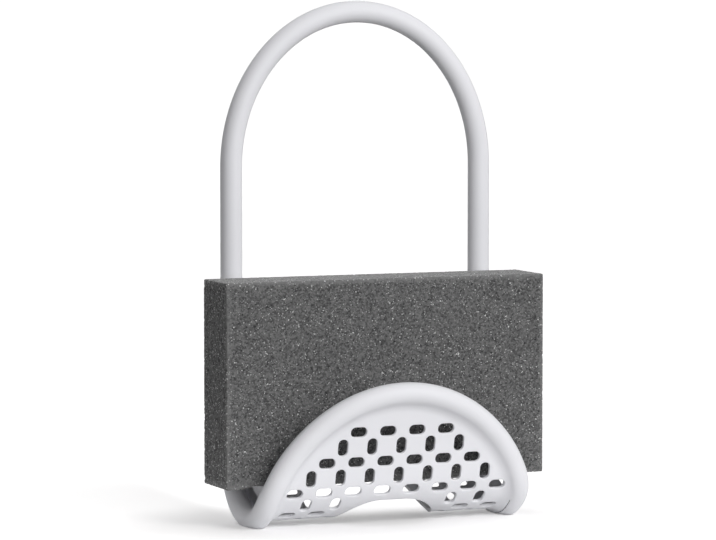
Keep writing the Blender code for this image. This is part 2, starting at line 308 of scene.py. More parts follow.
def front_arch(sizes):
    """Half of a rounded arch over the front panel, from the right rail to the left.

    X is the half width times the cosine, and u rises from the foot by a power of the sine.
    """
    turn = np.linspace(0.0, math.pi, ARCH_POINTS)
    rise = (sizes.panel_top - sizes.panel_foot) * np.sin(turn).clip(0.0) ** FRONT_ARCH_POWER
    return np.stack([sizes.half_width * np.cos(turn), sizes.panel_foot + rise], axis=1)


def handle_arch(sizes):
    """The handle's half ellipse, from the left leg to the right.

    X is the half width times the cosine, and u goes on from the spring by the rise times the sine.
    """
    turn = np.linspace(math.pi, 2.0 * math.pi, ARCH_POINTS)
    spring = back_u(sizes.arch_spring, sizes)
    return np.stack([sizes.half_width * np.cos(turn), spring + sizes.arch_rise * np.sin(turn)], axis=1)


def back_corners(sizes, count):
    """The two quarter rounds of the back rail, one corner radius inside the left and the right leg."""
    inner = sizes.half_width - sizes.back_corner
    level = -bend_length(sizes) - sizes.back_rise + sizes.back_corner
    left = arc((-inner, level), sizes.back_corner, math.pi, 1.5 * math.pi, count)
    right = arc((inner, level), sizes.back_corner, 1.5 * math.pi, 2.0 * math.pi, count)
    return left, right


def even(path, spacing, closed):
    """The same path with its points spread evenly along it."""
    if closed:
        path = np.concatenate([path, path[:1]])
    steps = np.linalg.norm(np.diff(path, axis=0), axis=1)
    run = np.concatenate([[0.0], np.cumsum(steps)])
    count = int(round(run[-1] / spacing))
    places = np.linspace(0.0, run[-1], count + 1)
    if closed:
        places = places[:-1]
    return np.stack([np.interp(places, run, path[:, i]) for i in range(path.shape[1])], axis=1)


def soothed(path, rounds):
    """A closed path with small kinks averaged out between neighbours."""
    for _ in range(rounds):
        path = 0.5 * path + 0.25 * (np.roll(path, 1, axis=0) + np.roll(path, -1, axis=0))
    return path


def side_of(path, closed):
    """Unit vectors across a path in the sheet, to the left of the way it runs."""
    if closed:
        along = np.roll(path, -1, axis=0) - np.roll(path, 1, axis=0)
    else:
        along = np.gradient(path, axis=0)
    along /= np.linalg.norm(along, axis=1, keepdims=True)
    return np.stack([-along[:, 1], along[:, 0]], axis=1)


def handle_loop(sizes):
    """The closed centreline of rim and handle on the flat sheet, anticlockwise: over the front
    arch, down the left rail, round the handle's arch and back up the right rail."""
    path = np.concatenate([front_arch(sizes), handle_arch(sizes)])
    return soothed(even(path, LOOP_STEP, True), SOOTHING)


def rim_loop(sizes):
    """The closed centreline round the perforated sheet, anticlockwise from the right rail."""
    path = np.concatenate([front_arch(sizes), *back_corners(sizes, count=25)])
    return soothed(even(path, RIM_STEP, True), SOOTHING)


def grid_faces(rows, columns, wrap_rows=False, wrap_columns=False):
    """Four-cornered faces between neighbouring rows and columns of a grid of points."""
    down = np.arange(rows if wrap_rows else rows - 1)
    across = np.arange(columns if wrap_columns else columns - 1)
    down, across = np.meshgrid(down, across, indexing="ij")
    next_down, next_across = (down + 1) % rows, (across + 1) % columns
    corners = (
        down * columns + across,
        down * columns + next_across,
        next_down * columns + next_across,
        next_down * columns + across,
    )
    return np.stack(corners, axis=-1).reshape(-1, 4)


def new_piece(name, parts, finish, crease=CREASE):
    """One mesh object at the origin from (points, faces) parts, welded where they meet, and smooth
    except where two faces meet at more than the crease angle."""
    points, corners, counts, start = [], [], [], 0
    for part_points, part_faces in parts:
        flat = np.asarray(part_points, float).reshape(-1, 3)
        points.append(flat)
        corners.append((part_faces + start).ravel())
        counts.append(np.full(len(part_faces), part_faces.shape[1]))
        start += len(flat)
    points, corners, counts = map(np.concatenate, (points, corners, counts))
    mesh = bpy.data.meshes.new(name)
    mesh.vertices.add(len(points))
    mesh.vertices.foreach_set("co", points.ravel())
    mesh.loops.add(len(corners))
    mesh.loops.foreach_set("vertex_index", corners)
    mesh.polygons.add(len(counts))
    mesh.polygons.foreach_set("loop_start", np.cumsum(counts) - counts)
    mesh.update(calc_edges=True)
    mesh.validate()
    bm = bmesh.new()
    bm.from_mesh(mesh)
    bmesh.ops.remove_doubles(bm, verts=bm.verts, dist=WELD)
    bmesh.ops.recalc_face_normals(bm, faces=bm.faces)
    for edge in bm.edges:
        edge.smooth = edge.calc_face_angle(0.0) < crease
    bm.to_mesh(mesh)
    bm.free()
    mesh.polygons.foreach_set("use_smooth", np.ones(len(mesh.polygons), bool))
    mesh.materials.append(finish)
    piece = bpy.data.objects.new(name, mesh)
    bpy.context.scene.collection.objects.link(piece)
    return piece


def tube_part(path, radius, closed, sizes, sides=TUBE_SIDES):
    """A round tube along a path on the flat sheet, folded with it.

    At each point of the path, a circle stands across it: its cosine goes along the sheet, to the
    side of the path, and its sine goes out of the sheet. An open tube ends in round caps, whose
    rings shrink with the square root of what the squared height leaves of 1.
    """
    side = side_of(path, closed)
    radii = np.broadcast_to(radius, (len(path),)).astype(float)
    if not closed:
        along = np.stack([side[:, 1], -side[:, 0]], axis=1)
        cap = np.sin(np.linspace(0.0, 0.5 * math.pi, CAP_RINGS + 1))[1:]
        first = path[0] - np.outer(cap, along[0]) * radii[0]
        last = path[-1] + np.outer(cap, along[-1]) * radii[-1]
        shrink = np.sqrt(1.0 - cap**2).clip(CAP_TIP)
        path = np.concatenate([first[::-1], path, last])
        rings = (CAP_RINGS, 1)
        side = np.concatenate([np.tile(side[0], rings), side, np.tile(side[-1], rings)])
        radii = np.concatenate([(radii[0] * shrink)[::-1], radii, radii[-1] * shrink])
    turn = np.linspace(0.0, 2.0 * math.pi, sides, endpoint=False)
    flat = path[:, None, :] + radii[:, None, None] * np.cos(turn)[None, :, None] * side[:, None, :]
    out = radii[:, None] * np.sin(turn)[None, :]
    points = folded(np.concatenate([flat, out[..., None]], axis=-1), sizes)
    faces = grid_faces(len(path), sides, wrap_rows=closed, wrap_columns=True)
    return points, faces


def add_node(tree, kind, inputs=None, **settings):
    """Adds a node with its settings, its inputs filled with values or linked to other outputs."""
    made = tree.nodes.new(kind)
    for name, value in settings.items():
        setattr(made, name, value)
    for socket, value in (inputs or {}).items():
        if isinstance(value, bpy.types.NodeSocket):
            tree.links.new(value, made.inputs[socket])
        else:
            made.inputs[socket].default_value = value
    return made


def new_material(name):
    """An empty node material and its tree."""
    material = bpy.data.materials.new(name)
    material.use_nodes = True
    material.node_tree.nodes.clear()
    return material, material.node_tree


def change(value, start, end, low, high):
    """Inputs by which a value that goes from start to end becomes one from low to high."""
    return {"Value": value, "From Min": start, "From Max": end, "To Min": low, "To Max": high}


def moulded_soft_touch_rubber(finish):
    """Thermoplastic rubber as it leaves a finely sparked mould: an even pale skin, matt, with a
    broad weak sheen and a grain of a few hundredths of a millimetre that only softens highlights."""
    material, tree = new_material("moulded_soft_touch_rubber")
    at = add_node(tree, "ShaderNodeTexCoord").outputs["Object"]
    # The mould's grain is about 0.05 mm, drawn at 0.35 mm so that it shows at all
    grain = add_node(
        tree,
        "ShaderNodeTexNoise",
        {"Vector": at, "Scale": 1.0 / (0.35 * MM), "Detail": 3.0, "Roughness": 0.6},
    )
    # Handling leaves the skin a little smoother in patches about 15 mm across
    patches = add_node(
        tree, "ShaderNodeTexNoise", {"Vector": at, "Scale": 1.0 / (15.0 * MM), "Detail": 2.0}
    )
    rough = add_node(tree, "ShaderNodeMapRange", change(patches.outputs["Fac"], 0.3, 0.7, 0.50, 0.60))
    bump = add_node(
        tree,
        "ShaderNodeBump",
        {"Height": grain.outputs["Fac"], "Strength": 0.12, "Distance": 0.03 * MM},
    )
    shader = add_node(
        tree,
        "ShaderNodeBsdfPrincipled",
        {
            "Base Color": (*finish.coat, 1.0),
            "Roughness": rough.outputs["Result"],
            "IOR": 1.5,
            "Specular IOR Level": 0.4,
            "Normal": bump.outputs["Normal"],
            "Sheen Weight": 0.04,
            "Sheen Roughness": 0.5,
        },
    )
    add_node(tree, "ShaderNodeOutputMaterial", {"Surface": shader.outputs["BSDF"]})
    return material


def cut_open_cell_foam(finish):
    """Charcoal polyurethane foam cut with a blade: strands that scatter all light, dark cells between
    them with painted shade deep in the pores, a painted highlight along the cut edges, and scattered
    cell walls that catch the light, painted as pale specks."""
    material, tree = new_material("cut_open_cell_polyurethane_foam")
    at = add_node(tree, "ShaderNodeTexCoord").outputs["Object"]
    pore = add_node(tree, "ShaderNodeAttribute", attribute_name="pore")
    edge = add_node(tree, "ShaderNodeAttribute", attribute_name="edge")
    # Cells about 0.5 mm across, each cut at another height and so of another tone
    cells = add_node(
        tree, "ShaderNodeTexVoronoi", {"Vector": at, "Scale": 1.0 / (0.50 * MM)}, feature="F1"
    )
    tones = add_node(tree, "ShaderNodeSeparateColor", {"Color": cells.outputs["Color"]})
    # Torn strands between them, and paler and darker areas some millimetres across
    fine = add_node(
        tree,
        "ShaderNodeTexNoise",
        {"Vector": at, "Scale": 1.0 / (0.55 * MM), "Detail": 2.0, "Roughness": 0.7},
    )
    broad = add_node(
        tree, "ShaderNodeTexNoise", {"Vector": at, "Scale": 1.0 / (5.0 * MM), "Detail": 1.0}
    )
    mix = add_node(
        tree, "ShaderNodeMath", {0: tones.outputs["Red"], 1: fine.outputs["Fac"]}, operation="ADD"
    )
    mix = add_node(
        tree,
        "ShaderNodeMath",
        {0: broad.outputs["Fac"], 1: 0.35, 2: mix.outputs["Value"]},
        operation="MULTIPLY_ADD",
    )
    lightness = add_node(tree, "ShaderNodeMapRange", change(mix.outputs["Value"], 0.35, 1.75, 0.0, 1.0))
    # Painted highlight: the colour is lighter along the rounded cut edges, where they catch the light
    edge_highlight = add_node(
        tree,
        "ShaderNodeMath",
        {0: edge.outputs["Fac"], 1: 0.7, 2: lightness.outputs["Result"]},
        operation="MULTIPLY_ADD",
    )
    # Painted shade: the colour goes darker deep in each pore
    shade = add_node(
        tree,
        "ShaderNodeMath",
        {0: pore.outputs["Fac"], 1: -0.45, 2: edge_highlight.outputs["Value"]},
        operation="MULTIPLY_ADD",
        use_clamp=True,
    )
    body = add_node(
        tree,
        "ShaderNodeMix",
        {"Factor": shade.outputs["Value"], "A": (*finish.foam_shade, 1.0), "B": (*finish.foam, 1.0)},
        data_type="RGBA",
    )
    # Painted glints: one cell in six holds a wall that lies flat enough to shine, more or less, painted
    # as a pale speck
    heart = add_node(
        tree, "ShaderNodeMapRange", change(cells.outputs["Distance"], 0.35, 0.60, 1.0, 0.0)
    )
    flat = add_node(tree, "ShaderNodeMapRange", change(tones.outputs["Green"], 0.78, 1.0, 0.0, 1.0))
    speck = add_node(
        tree,
        "ShaderNodeMath",
        {0: heart.outputs["Result"], 1: flat.outputs["Result"]},
        operation="MULTIPLY",
    )
    skin = add_node(
        tree,
        "ShaderNodeMix",
        {"Factor": speck.outputs["Value"], "A": body.outputs["Result"], "B": (*finish.foam_speck, 1.0)},
        data_type="RGBA",
    )
    bump = add_node(
        tree, "ShaderNodeBump", {"Height": mix.outputs["Value"], "Strength": 0.4, "Distance": 0.12 * MM}
    )
    shader = add_node(
        tree,
        "ShaderNodeBsdfPrincipled",
        {
            "Base Color": skin.outputs["Result"],
            "Roughness": 0.95,
            "IOR": 1.5,
            "Specular IOR Level": 0.15,
            "Normal": bump.outputs["Normal"],
            "Sheen Weight": 0.42,
            "Sheen Roughness": 0.3,
        },
    )
    add_node(tree, "ShaderNodeOutputMaterial", {"Surface": shader.outputs["BSDF"]})
    return material


def drawn_aluminium(finish):
    """Soft aluminium wire pulled through a die: bright, with fine lines along it."""
    material, tree = new_material("drawn_aluminium_wire")
    place = add_node(tree, "ShaderNodeTexCoord")
    # Die lines about 0.1 mm apart round the wire, stretched along its height
    stretch = add_node(
        tree,
        "ShaderNodeMapping",
        {"Vector": place.outputs["Object"], "Scale": (1.0, 1.0, 0.02)},
    )
    lines = add_node(
        tree,
        "ShaderNodeTexNoise",
        {"Vector": stretch.outputs["Vector"], "Scale": 1.0 / (0.1 * MM), "Detail": 2.0},
    )
    rough = add_node(tree, "ShaderNodeMapRange", change(lines.outputs["Fac"], 0.0, 1.0, 0.28, 0.42))
    shader = add_node(
        tree,
        "ShaderNodeBsdfPrincipled",
        {"Base Color": (*finish.wire, 1.0), "Metallic": 1.0, "Roughness": rough.outputs["Result"]},
    )
    add_node(tree, "ShaderNodeOutputMaterial", {"Surface": shader.outputs["BSDF"]})
    return material


# Finishes made so far, by the name of the function that makes them
SHARED = {}


def shared(make, finish):
    """A finish that more than one piece wears, made once."""
    name = make.__name__
    if name not in SHARED:
        SHARED[name] = make(finish)
    return SHARED[name]


class CADDY_OT_rim_and_handle(bpy.types.Operator):
    """Build the soft-touch tube: rolled rim, rails, legs and loop handle in one"""

    bl_idname = "caddy.rim_and_handle"
    bl_label = "Rim and handle"

    def execute(self, context):
        sizes, finish = context.scene.caddy_sizes, context.scene.caddy_finish
        points, faces = tube_part(handle_loop(sizes), sizes.tube_radius, True, sizes)
        # The feet: what would lie under the floor is pressed flat against it
        points[..., 2] = points[..., 2].clip(0.0)
        rubber = shared(moulded_soft_touch_rubber, finish)
        piece = new_piece("rim_and_handle", [(points, faces)], rubber)
        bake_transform(piece)
        sleeves = ("lower_left", "lower_right", "flex_left", "flex_right", "arch")
        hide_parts(*("sleeve_" + name for name in sleeves))
        return {"FINISHED"}


class CADDY_OT_armature(bpy.types.Operator):
    """Build the bendable wire inside the handle"""

    bl_idname = "caddy.armature"
    bl_label = "Armature wire"

    def execute(self, context):
        sizes, finish = context.scene.caddy_sizes, context.scene.caddy_finish
        end = back_u(sizes.wire_end, sizes)
        ends = np.array([[-sizes.half_width, end], [sizes.half_width, end]])
        path = even(np.concatenate([ends[:1], handle_arch(sizes), ends[1:]]), WIRE_STEP, False)
        part = tube_part(path, sizes.wire_radius, False, sizes, sides=WIRE_SIDES)
        piece = new_piece("armature_wire", [part], shared(drawn_aluminium, finish))
        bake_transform(piece)
        wires = ("lower_left", "lower_right", "flex_left", "flex_right", "arch")
        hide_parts(*("wire_" + name for name in wires))
        return {"FINISHED"}


def slot_places(sizes):
    """Centre and direction of each slot of the basket weave, row by row, without those in the
    drain's place."""
    places = []
    low, high = sizes.drain_back - DRAIN_MARGIN, sizes.drain_front + DRAIN_MARGIN
    for row in range(ROWS):
        wider = min(max(row - UNDER_FIRST_ROW, 0), UNDER_ROWS)
        u = sizes.top_row - 0.5 * sizes.slot_pitch * row - sizes.under_spread * wider
        upright = row % 2 == 1
        count = min(FIRST_ROW_SLOTS + row, MOST_UPRIGHT if upright else MOST_LEVEL)
        half_height = 0.5 * (sizes.slot_length if upright else sizes.slot_width)
        half_width = 0.5 * (sizes.slot_width if upright else sizes.slot_length)
        in_line = low < u + half_height and u - half_height < high
        for i in range(count):
            x = (i - 0.5 * (count - 1)) * sizes.slot_pitch
            if not (in_line and abs(x) - half_width < sizes.drain_half_width + DRAIN_MARGIN):
                places.append((x, u, upright))
    return places


class Hole(NamedTuple):
    """A rounded rectangle through the sheet, with its half sizes, the radius of its corners in front
    and behind, and the points round each corner."""

    centre: tuple
    half_x: float
    half_u: float
    front: float
    back: float
    steps: int

    def ring(self, away):
        """Points round the hole, anticlockwise, for each distance away from its edge."""
        quarter = np.linspace(0.0, 0.5 * math.pi, self.steps)
        turns = (np.arange(4)[:, None] * 0.5 * math.pi + quarter).ravel()
        signs = np.repeat(np.array([[1, 1], [-1, 1], [-1, -1], [1, -1]], float), self.steps, axis=0)
        radius = np.where(signs[:, 1] > 0.0, self.front, self.back)[:, None]
        corners = self.centre + signs * ([self.half_x, self.half_u] - radius)
        directions = np.stack([np.cos(turns), np.sin(turns)], axis=1)
        return corners + (radius + np.asarray(away)[:, None, None]) * directions

    def outside(self, points):
        """Distance from points to the hole's edge, less than 0 inside it."""
        offset = points - self.centre
        radius = np.where(offset[:, 1] > 0.0, self.front, self.back)
        gap = np.abs(offset) - [self.half_x, self.half_u] + radius[:, None]
        return np.linalg.norm(gap.clip(0.0), axis=-1) + np.minimum(gap.max(axis=-1), 0.0) - radius


def hole_part(hole, lip, half_thickness):
    """The softened wall of a hole through the sheet.

    Across the wall, the distance from the hole's edge and the depth under the face follow a quarter
    round at each face, with the wall's straight part between them.
    """
    turn = np.linspace(0.0, 0.5 * math.pi, LIP_STEPS)
    flat = hole.ring(lip * (1.0 - np.sin(turn)))
    out = half_thickness(flat[0]) - lip * (1.0 - np.cos(turn))[:, None]
    sheet = np.concatenate([flat, out[..., None]], axis=-1)
    sheet = np.concatenate([sheet, (sheet * [1.0, 1.0, -1.0])[::-1]])
    return sheet, grid_faces(*sheet.shape[:2], wrap_columns=True)


def depth_inside(points, loop):
    """How far points lie inside a closed anticlockwise path: the distance to the nearest of its
    stretches, positive on their left."""
    stretch = np.roll(loop, -1, axis=0) - loop
    found = []
    for block in np.array_split(points, max(1, len(points) // BLOCK)):
        gap = block[:, None, :] - loop[None]
        share = ((gap * stretch).sum(axis=-1) / (stretch**2).sum(axis=-1)).clip(0.0, 1.0)
        distance = np.linalg.norm(gap - share[..., None] * stretch, axis=-1)
        rows, nearest = np.arange(len(block)), distance.argmin(axis=1)
        along, across = stretch[nearest], gap[rows, nearest]
        left = along[:, 0] * across[:, 1] - along[:, 1] * across[:, 0]
        found.append(np.sign(left) * distance[rows, nearest])
    return np.concatenate(found)


def filled(rings, loose):
    """Triangles between closed rings of points, with loose points among them, worked out in
    millimetres."""
    points = np.concatenate([*rings, loose]) / MM
    edges, start = [], 0
    for ring in rings:
        index = np.arange(len(ring))
        edges.append(np.stack([start + index, start + (index + 1) % len(ring)], axis=1))
        start += len(ring)
    edges = np.concatenate(edges).tolist()
    found = delaunay_2d_cdt([Vector(p) for p in points], edges, [], 0, NEAREST)
    return np.array([tuple(p) for p in found[0]]) * MM, np.array([list(face) for face in found[2]])


class CADDY_OT_web(bpy.types.Operator):
    """Build the perforated sheet with its slots, drain and the hollow along the rim"""

    bl_idname = "caddy.web"
    bl_label = "Perforated web"

    def execute(self, context):
        sizes, finish = context.scene.caddy_sizes, context.scene.caddy_finish
        lip, fillet, tube = sizes.slot_lip, sizes.rim_fillet, sizes.tube_radius
        loop = rim_loop(sizes)
        middle = 0.5 * sizes.web_thickness + fillet
        reach = math.sqrt((tube + fillet) ** 2 - middle**2)

        def half_thickness(points):
            """Half the sheet's thickness: a quarter round rises to the rim within reach of its
            centreline."""
            short = (reach - depth_inside(points, loop)).clip(0.0, fillet)
            return middle - np.sqrt(fillet**2 - short**2)

        holes = []
        for x, u, upright in slot_places(sizes):
            spans = (0.5 * sizes.slot_width, 0.5 * sizes.slot_length)
            half_x, half_u = spans if upright else spans[::-1]
            holes.append(Hole((x, u), half_x, half_u, sizes.slot_round, sizes.slot_round, SLOT_STEPS))
        middle_u = 0.5 * (sizes.drain_front + sizes.drain_back)
        half_u = 0.5 * (sizes.drain_front - sizes.drain_back)
        corners = (sizes.drain_front_corner, sizes.drain_back_corner)
        holes.append(Hole((0.0, middle_u), sizes.drain_half_width, half_u, *corners, DRAIN_STEPS))
        walls = [hole_part(hole, lip, half_thickness) for hole in holes]
        # The border hides just inside the rim, and rings of points follow it over the hollow
        start = tube * reach / (tube + fillet) - BORDER_HIDDEN
        inward = side_of(loop, True)
        border = loop + start * inward
        rings = [border] + [sheet[0, :, :2] for sheet, _ in walls]
        hollow = [loop + depth * inward for depth in np.linspace(start, reach, HOLLOW_RINGS + 1)[1:]]
        low, high = loop.min(axis=0), loop.max(axis=0)
        spans = [np.arange(low[axis], high[axis], SHEET_SPACING) for axis in (0, 1)]
        grid = np.stack(np.meshgrid(*spans, indexing="ij"), axis=-1)
        grid[1::2, :, 1] += 0.5 * SHEET_SPACING
        grid = grid.reshape(-1, 2)
        grid = grid[depth_inside(grid, loop) > reach + 0.5 * SHEET_SPACING]
        loose = np.concatenate([*hollow, grid])
        clear = np.min([hole.outside(loose) for hole in holes], axis=0) > lip + SHEET_CLEAR
        points, triangles = filled(rings, loose[clear])
        middles = points[triangles].mean(axis=1)
        solid = depth_inside(middles, loop) > start - BORDER_SLACK
        solid &= np.min([hole.outside(middles) for hole in holes], axis=0) > lip - BORDER_SLACK
        height = half_thickness(points)[:, None]
        parts = [
            (folded(np.concatenate([points, side * height], axis=1), sizes), triangles[solid])
            for side in (1.0, -1.0)
        ]
        parts += [(folded(sheet, sizes), faces) for sheet, faces in walls]
        edge = half_thickness(border)
        closing = np.stack([np.column_stack([border, side * edge]) for side in (1.0, -1.0)])
        parts.append((folded(closing, sizes), grid_faces(2, len(loop), wrap_columns=True)))
        # Over the feet the hollow is pressed flat with the rim
        for sheet, _ in parts:
            sheet[..., 2] = sheet[..., 2].clip(0.0)
        piece = new_piece("perforated_web", parts, shared(moulded_soft_touch_rubber, finish))
        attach(piece, "cradle")
        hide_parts("cradle")
        return {"FINISHED"}


class CADDY_OT_back_rail(bpy.types.Operator):
    """Build the rail across the back, between the legs"""

    bl_idname = "caddy.back_rail"
    bl_label = "Back rail"

    def execute(self, context):
        sizes, finish = context.scene.caddy_sizes, context.scene.caddy_finish
        path = even(np.concatenate(back_corners(sizes, count=40)), RAIL_STEP, False)
        # The ends are a little thinner, so that they hide inside the legs
        index = np.arange(len(path))
        inward = np.minimum(index, index[::-1]) / END_POINTS
        radius = sizes.tube_radius - END_THINNER * (1.0 - inward.clip(0.0, 1.0))
        part = tube_part(path, radius, False, sizes)
        piece = new_piece("back_rail", [part], shared(moulded_soft_touch_rubber, finish))
        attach(piece, "cradle")
        return {"FINISHED"}


def scrambled(cells, seed):
    """Three random shares for each whole-numbered cell, always the same for the same cell.

    Each share is made of the lowest 24 of 32 mixed bits.
    """
    mixed = np.bitwise_xor.reduce(cells.astype(np.int64) * CELL_FACTORS, axis=1) ^ seed * SEED_FACTOR
    shares = []
    for factor in MIX_FACTORS:
        mixed = (mixed ^ (mixed >> 15)) * factor & 0xFFFFFFFF
        shares.append((mixed & 0xFFFFFF) / float(0x1000000))
    return np.stack(shares, axis=1)


def nearest_seed(points, cell, seed):
    """Distance to the nearest of one random seed point per cubic cell, in cell sides, and that
    seed point's random number."""
    scaled = points / cell
    home = np.floor(scaled)
    nearest, number = np.full(len(points), math.inf), np.zeros(len(points))
    for shift in itertools.product((-1, 0, 1), repeat=3):
        place = home + shift
        shares = scrambled(place, seed)
        gap = np.linalg.norm(place + shares - scaled, axis=1)
        closer = gap < nearest
        nearest = np.where(closer, gap, nearest)
        number = np.where(closer, shares[:, 2], number)
    return nearest, number


class CADDY_OT_sponge(bpy.types.Operator):
    """Build the foam sponge with its open pores"""

    bl_idname = "caddy.sponge"
    bl_label = "Sponge"

    def execute(self, context):
        sizes, finish = context.scene.caddy_sizes, context.scene.caddy_finish
        edge = sizes.sponge_edge
        centre, half = 0.5 * (SPONGE_LOW + SPONGE_HIGH), 0.5 * (SPONGE_HIGH - SPONGE_LOW)
        parts = []
        for axis in range(3):
            first, second = [i for i in range(3) if i != axis]
            counts = [int(round(2.0 * half[i] / sizes.sponge_grid)) + 1 for i in (first, second)]
            spans = [np.linspace(-half[i], half[i], n) for i, n in zip((first, second), counts)]
            for sign in (-1.0, 1.0):
                points = np.empty((*counts, 3))
                points[..., first], points[..., second] = np.meshgrid(*spans, indexing="ij")
                points[..., axis] = sign * half[axis]
                parts.append((points, grid_faces(*counts)))
        piece = new_piece("sponge_block", parts, cut_open_cell_foam(finish), crease=math.pi)
        mesh = piece.data
        points = np.empty(len(mesh.vertices) * 3)
        mesh.vertices.foreach_get("co", points)
        points = points.reshape(-1, 3)
        # Each point goes to the nearest point of a smaller block, then out by the edge radius
        core = points.clip(-(half - edge), half - edge)
        normal = points - core
        normal /= np.linalg.norm(normal, axis=1, keepdims=True)
        points = core + edge * normal
        gap, number = nearest_seed(points, sizes.pore_cell, PORE_SEED)
        radius = PORE_SMALLEST + PORE_SPREAD * number
        pore = (1.0 - gap / radius).clip(0.0) ** PORE_POWER
        ripple, _ = nearest_seed(points, RIPPLE_CELL * sizes.pore_cell, RIPPLE_SEED)
        inset = sizes.pore_depth * pore + RIPPLE_DEPTH * ripple.clip(0.0, 1.0)
        points = points - inset[:, None] * normal
        # The foam settles between and beside the rails, more toward its left end
        height = ((points[:, 2] + half[2]) / SAG_HEIGHT).clip(0.0, 1.0)
        from_rail = np.abs(np.abs(points[:, 0]) - sizes.half_width)
        beside = ((from_rail - RAIL_REACH) / RAIL_FADE).clip(0.0, 1.0)
        share = 0.5 - 0.5 * points[:, 0] / half[0]
        points[:, 2] -= sizes.sponge_sag * share * beside * (1.0 - height) ** 2
        points += centre
        mesh.vertices.foreach_set("co", points.ravel())
        # 1 on an edge of the block, and 0 beyond the band of painted highlight
        short = np.sort(half - np.abs(points - centre), axis=1)[:, 1]
        edge_highlight_share = (1.0 - short / EDGE_HIGHLIGHT_WIDTH).clip(0.0, 1.0) ** EDGE_HIGHLIGHT_POWER
        # The pores' depth also paints shade into the foam's colour
        for name, value in (("pore", pore), ("edge", edge_highlight_share)):
            attribute = mesh.attributes.new(name, "FLOAT", "POINT")
            attribute.data.foreach_set("value", value.astype(np.float32))
        mesh.update()
        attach(piece, "sponge")
        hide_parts("sponge")
        return {"FINISHED"}


def stage_material():
    """White paper sweep. What the camera sees is lit paper with a little of its own light, so it
    comes out white and keeps the shadow; what bounces onto the caddy is weaker."""
    material, tree = new_material("white_paper_sweep")
    path = add_node(tree, "ShaderNodeLightPath")
    seen = add_node(
        tree,
        "ShaderNodeMath",
        {0: path.outputs["Is Camera Ray"], 1: path.outputs["Is Glossy Ray"]},
        operation="MAXIMUM",
    )
    seen = add_node(
        tree,
        "ShaderNodeMath",
        {0: seen.outputs["Value"], 1: path.outputs["Is Transmission Ray"]},
        operation="MAXIMUM",
    )
    at = add_node(tree, "ShaderNodeTexCoord").outputs["Object"]
    narrow = add_node(
        tree,
        "ShaderNodeMapping",
        {"Vector": at, "Location": (7.0 * MM, -6.0 * MM, 0.0), "Scale": (0.6, 1.0, 1.0)},
    )
    near = add_node(tree, "ShaderNodeVectorMath", {0: narrow.outputs["Vector"]}, operation="LENGTH")
    parts = add_node(tree, "ShaderNodeSeparateXYZ", {"Vector": at})
    sideways = add_node(tree, "ShaderNodeMath", {0: parts.outputs["X"]}, operation="ABSOLUTE")
    away = add_node(tree, "ShaderNodeVectorMath", {0: at}, operation="LENGTH")
    # Smooth changes: each with its start and end in millimetres, and the values there
    own, between, behind, beyond, outer, inner = (
        add_node(
            tree, "ShaderNodeMapRange", change(value, start * MM, end * MM, low, high), **SMOOTH
        ).outputs["Result"]
        for value, start, end, low, high in (
            # The paper's own light is weakest round the feet, so that the shadow stays there
            (near.outputs["Value"], 24.0, 60.0, 0.20, 0.46),
            # It is stronger between the feet and behind the drain, and fades again farther back
            (sideways.outputs["Value"], 28.0, 46.0, 1.0, 0.0),
            (parts.outputs["Y"], 8.0, 30.0, 0.0, 0.36),
            (parts.outputs["Y"], 65.0, 160.0, 1.0, 0.0),
            # Painted bounce light: the colour that bounces is paler round the caddy than under it or
            # far from it, so the paper throws back more light there
            (away.outputs["Value"], 60.0, 150.0, 0.92, 0.12),
            (away.outputs["Value"], 10.0, 30.0, 0.70, 1.0),
        )
    )
    back = add_node(tree, "ShaderNodeMath", {0: behind, 1: beyond}, operation="MULTIPLY")
    own = add_node(
        tree,
        "ShaderNodeMath",
        {0: between, 1: back.outputs["Value"], 2: own},
        operation="MULTIPLY_ADD",
    )
    shown = add_node(tree, "ShaderNodeBsdfDiffuse", {"Color": (0.96, 0.95, 0.95, 1.0)})
    glow = add_node(
        tree, "ShaderNodeEmission", {"Color": WHITE, "Strength": own.outputs["Value"]}
    )
    both = add_node(
        tree, "ShaderNodeAddShader", {0: shown.outputs["BSDF"], 1: glow.outputs["Emission"]}
    )
    share = add_node(tree, "ShaderNodeMath", {0: outer, 1: inner}, operation="MULTIPLY")
    bounced = add_node(tree, "ShaderNodeBsdfDiffuse", {"Color": share.outputs["Value"]})
    surface = add_node(
        tree,
        "ShaderNodeMixShader",
        {0: seen.outputs["Value"], 1: bounced.outputs["BSDF"], 2: both.outputs["Shader"]},
    )
    add_node(tree, "ShaderNodeOutputMaterial", {"Surface": surface.outputs["Shader"]})
    return material


def soft_sun(name, strength, azimuth, elevation, spread):
    """A broad soft lamp. Its azimuth counts from the front toward +X, its elevation from the floor,
    and all its angles are in degrees."""
    lamp = bpy.data.lights.new(name, "SUN")
    lamp.energy = strength * math.pi
    lamp.angle = math.radians(spread)
    holder = bpy.data.objects.new(name, lamp)
    a, e = math.radians(azimuth), math.radians(elevation)
    toward = Vector((math.sin(a) * math.cos(e), -math.cos(a) * math.cos(e), math.sin(e)))
    holder.rotation_euler = toward.to_track_quat("Z", "Y").to_euler()
    holder.location = toward
    bpy.context.scene.collection.objects.link(holder)


def soft_box(name, power, place, target, size):
    """A round softbox at a place, turned toward a target."""
    lamp = bpy.data.lights.new(name, "AREA")
    lamp.shape = "DISK"
    lamp.size = size
    lamp.energy = power
    holder = bpy.data.objects.new(name, lamp)
    holder.location = place
    holder.rotation_euler = (Vector(place) - Vector(target)).to_track_quat("Z", "Y").to_euler()
    bpy.context.scene.collection.objects.link(holder)


